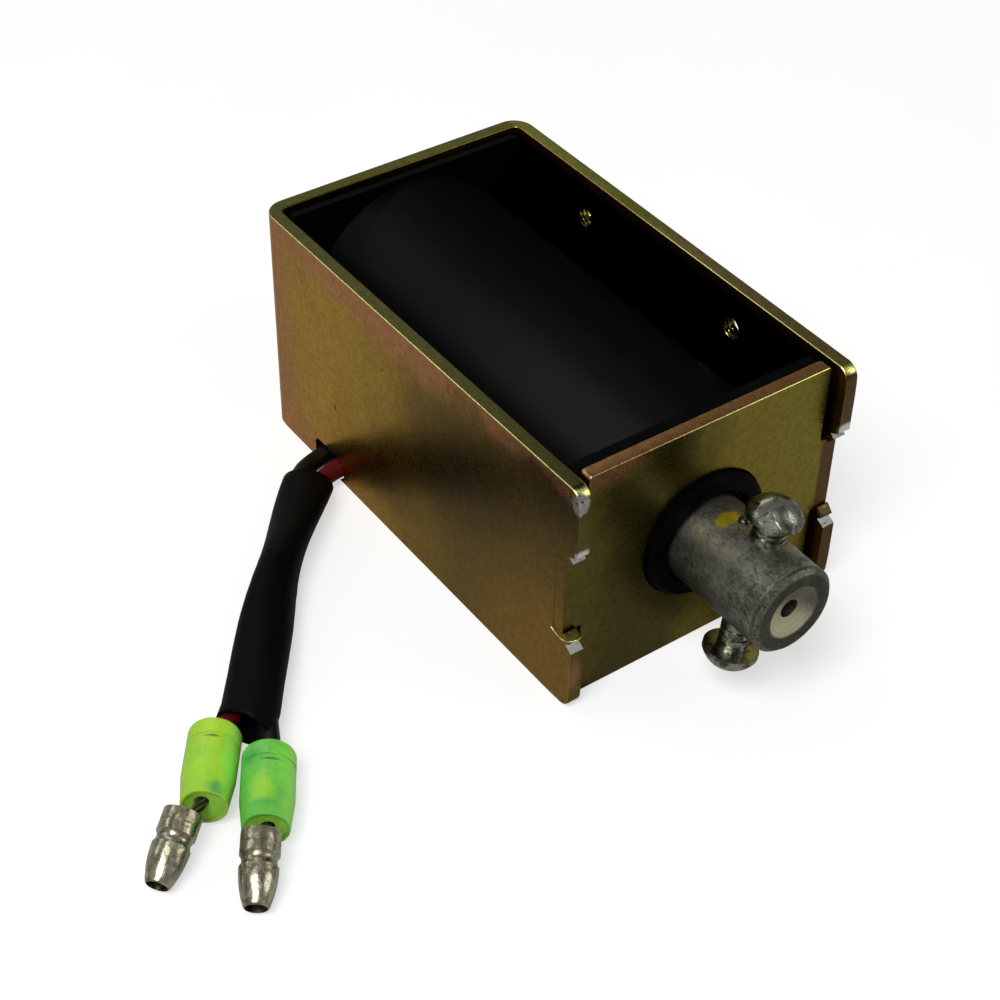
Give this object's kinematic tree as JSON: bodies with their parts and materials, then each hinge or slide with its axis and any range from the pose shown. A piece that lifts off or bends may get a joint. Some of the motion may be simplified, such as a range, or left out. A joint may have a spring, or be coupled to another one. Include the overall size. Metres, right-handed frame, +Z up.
{
  "type": "solenoid",
  "caption": "Box-frame pull solenoid with a round sliding plunger, a riveted cross pin and two leads with bullet terminals.",
  "frame": {"origin": "middle of the footprint of the frame with its plunger at rest, on the plane that the open bottom edges stand on", "axes": "+Z up; the plunger points along -Y, so +Y is into the coil; +X towards the wall with the tapped holes, and the leads leave on -X"},
  "size_m": [0.0787, 0.0684, 0.028],
  "materials": {
    "zinc_plate": "yellow-passivated zinc plate, satin with olive, gold and pink tints",
    "bobbin_plastic": "black moulded nylon",
    "coil_wrap_film": "black film wrap, semi-gloss",
    "copper_wire": "enamelled copper wire",
    "guide_brass": "drawn brass",
    "bare_steel": "turned steel, worn and mottled",
    "bright_steel": "bright turned steel with dents",
    "black_pvc": "black PVC",
    "red_pvc": "dark red PVC",
    "insulator_green": "translucent green PVC",
    "bullet_nickel": "nickel-plated brass",
    "tinned_strand": "tinned copper strands, dulled",
    "solder": "solder"
  },
  "bodies": {
    "housing": {"frame_yoke": "zinc_plate", "end_plate": "zinc_plate", "bobbin": "bobbin_plastic", "coil_winding": "copper_wire", "coil_wrap": "coil_wrap_film", "guide_tube": "guide_brass", "pole_piece": "bare_steel", "pole_washer": "guide_brass", "lead_anchor": "black_pvc", "splice_joints": "solder", "black_lead": "black_pvc", "red_lead": "red_pvc", "lead_sleeve": "black_pvc", "black_insulator": "insulator_green", "red_insulator": "insulator_green", "black_bullet": "bullet_nickel", "red_bullet": "bullet_nickel", "black_strands": "tinned_strand", "red_strands": "tinned_strand"},
    "plunger_set": {"plunger": "bare_steel", "cross_pin": "bright_steel"}
  },
  "joints": [
    {"name": "plunger_slide", "type": "slide", "parent": "housing", "child": "plunger_set", "axis": [0, 1, 0], "range_m": [-0.0065, 0.0035]}
  ]
}
